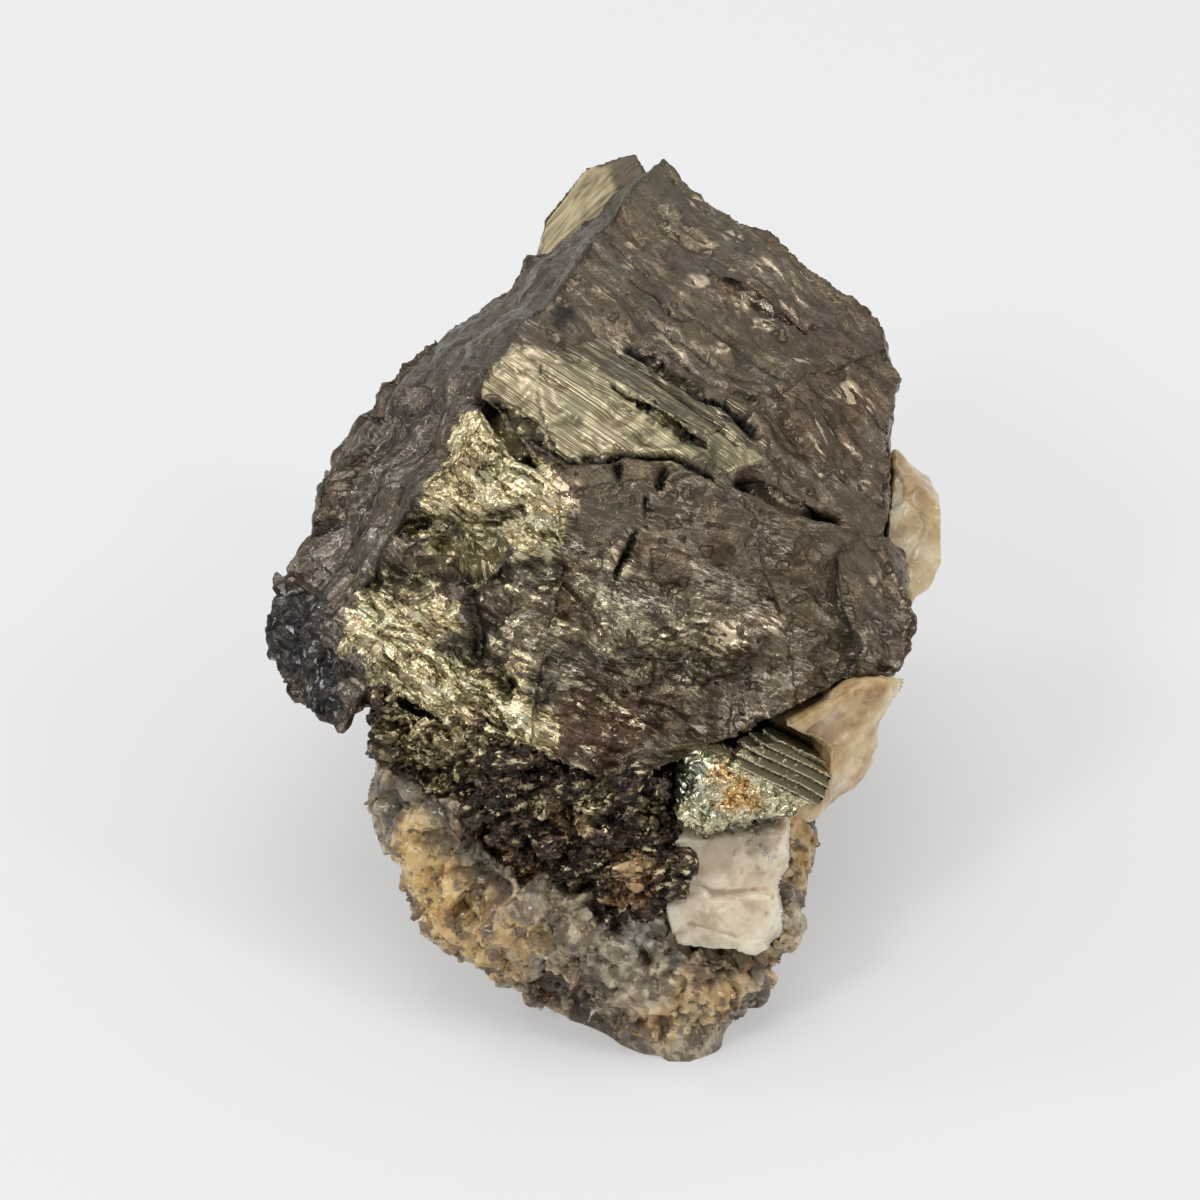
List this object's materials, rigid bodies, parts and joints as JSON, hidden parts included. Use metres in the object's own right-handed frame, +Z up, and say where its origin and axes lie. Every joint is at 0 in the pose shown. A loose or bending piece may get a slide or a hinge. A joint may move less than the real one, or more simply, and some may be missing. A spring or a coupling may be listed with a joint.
{
  "type": "cubanite mineral specimen",
  "caption": "Blocky striated metallic crystal with a tarnished skin and golden breaks, on a small foot of calcite, carbonate and quartz vein rock.",
  "frame": {"origin": "on the surface that the specimen stands on, below the middle of its bounding box", "axes": "+Z up; +Y to the back, away from the broad sloping front face; +X to the right as seen from the front"},
  "size_m": [0.0205, 0.0245, 0.0174],
  "materials": {
    "tarnished_cubanite": "satin",
    "brassy_blade": "satin",
    "bronze_fan": "satin",
    "white_calcite": "gloss",
    "cream_carbonate": "matte",
    "tan_carbonate": "matte",
    "dark_sulphide": "matte",
    "vein_quartz": "matte"
  },
  "bodies": {
    "root": {"cubanite_crystal": "tarnished_cubanite", "cubanite_back_blade": "brassy_blade", "cubanite_fan": "bronze_fan", "calcite_cleavage": "white_calcite", "cream_carbonate": "cream_carbonate", "flank_carbonate": "tan_carbonate", "sulphide_crust": "dark_sulphide", "vein_rock": "vein_quartz"}
  },
  "joints": []
}
